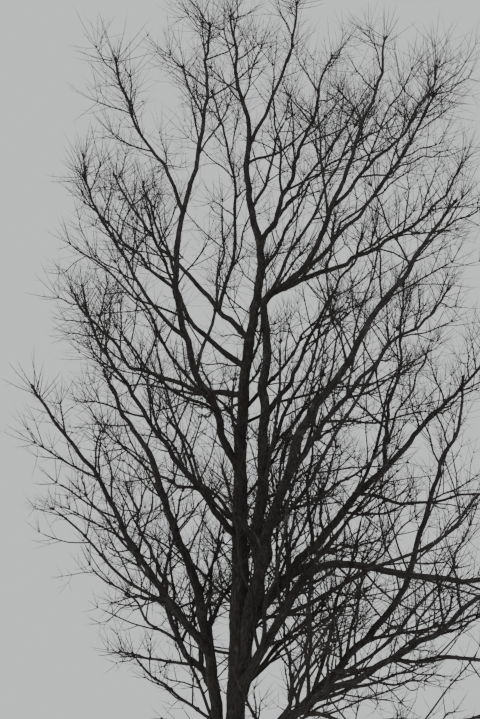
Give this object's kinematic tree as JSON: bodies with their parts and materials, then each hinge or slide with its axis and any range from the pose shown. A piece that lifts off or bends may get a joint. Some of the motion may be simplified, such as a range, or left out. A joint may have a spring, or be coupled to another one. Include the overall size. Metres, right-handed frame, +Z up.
{
  "type": "bare winter tree",
  "caption": "Bare winter tree: a flared trunk that splits low into upright stems, long kinked boughs and open sprays of leafless twigs.",
  "frame": {"origin": "middle of the trunk's flat cut at ground level", "axes": "+Z up the trunk, +X to the viewer's right in the picture, +Y away from the viewer"},
  "size_m": [7.3898, 7.724, 13.9935],
  "materials": {
    "bark": "rough dark grey-brown bark, finely fissured",
    "twigs": "matt dark grey-brown twig bark"
  },
  "bodies": {
    "root": {"trunk": "bark", "bough_back_high": "bark", "bough_back_low": "bark", "bough_base_front": "bark", "bough_base_right": "bark", "bough_leader_fork": "bark", "bough_leader_left": "bark", "bough_left_back": "bark", "bough_left_cross": "bark", "bough_left_low": "bark", "bough_left_mid": "bark", "bough_left_outer": "bark", "bough_left_stem": "bark", "bough_left_tall": "bark", "bough_left_tall_low": "bark", "bough_left_tall_side": "bark", "bough_left_upper": "bark", "bough_right_fan": "bark", "bough_right_front": "bark", "bough_right_heart": "bark", "bough_right_inner": "bark", "bough_right_inner_side": "bark", "bough_right_low": "bark", "bough_right_mid": "bark", "bough_right_mid_up": "bark", "bough_right_sky": "bark", "bough_right_stem": "bark", "bough_right_sun": "bark", "bough_right_tall": "bark", "bough_right_upper": "bark", "twigs_back_high": "twigs", "twigs_back_low": "twigs", "twigs_base_front": "twigs", "twigs_base_right": "twigs", "twigs_leader_fork": "twigs", "twigs_leader_left": "twigs", "twigs_left_back": "twigs", "twigs_left_cross": "twigs", "twigs_left_low": "twigs", "twigs_left_mid": "twigs", "twigs_left_outer": "twigs", "twigs_left_stem": "twigs", "twigs_left_tall": "twigs", "twigs_left_tall_low": "twigs", "twigs_left_tall_side": "twigs", "twigs_left_upper": "twigs", "twigs_right_fan": "twigs", "twigs_right_front": "twigs", "twigs_right_heart": "twigs", "twigs_right_inner": "twigs", "twigs_right_inner_side": "twigs", "twigs_right_low": "twigs", "twigs_right_mid": "twigs", "twigs_right_mid_up": "twigs", "twigs_right_sky": "twigs", "twigs_right_sun": "twigs", "twigs_right_tall": "twigs", "twigs_right_upper": "twigs", "twigs_trunk": "twigs"}
  },
  "joints": []
}
